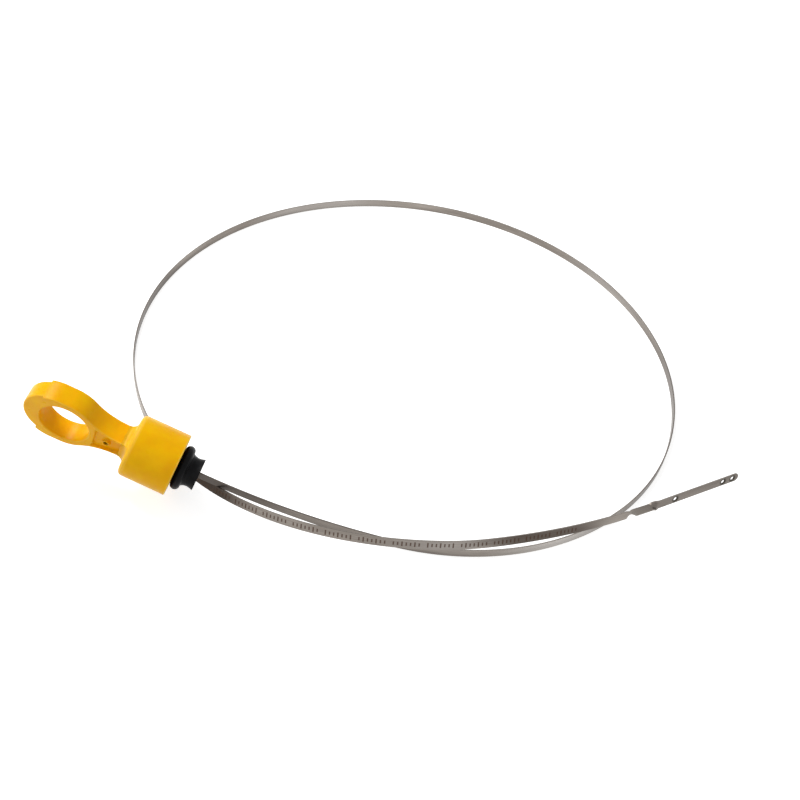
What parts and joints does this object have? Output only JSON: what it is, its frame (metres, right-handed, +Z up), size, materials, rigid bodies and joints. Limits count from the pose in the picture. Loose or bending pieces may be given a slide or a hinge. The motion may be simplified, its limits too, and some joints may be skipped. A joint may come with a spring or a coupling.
{
  "type": "transmission dipstick",
  "caption": "Transmission fluid dipstick, coiled: a yellow finger-ring handle with a cup and rubber stopper on a long flat steel strip with a twisted, drilled tip.",
  "frame": {"origin": "on the table under the middle of the whole coiled part", "axes": "+Z up from the table the coil lies on; +X from the handle's side towards the tip, along the longest extent"},
  "size_m": [0.3162, 0.2734, 0.0492],
  "materials": {
    "handle": "moulded, satin gloss",
    "seal": "moulded, semi-matt",
    "blade": "brushed along the strip"
  },
  "bodies": {
    "root": {"handle": "handle", "seal": "seal", "blade": "blade"}
  },
  "joints": []
}
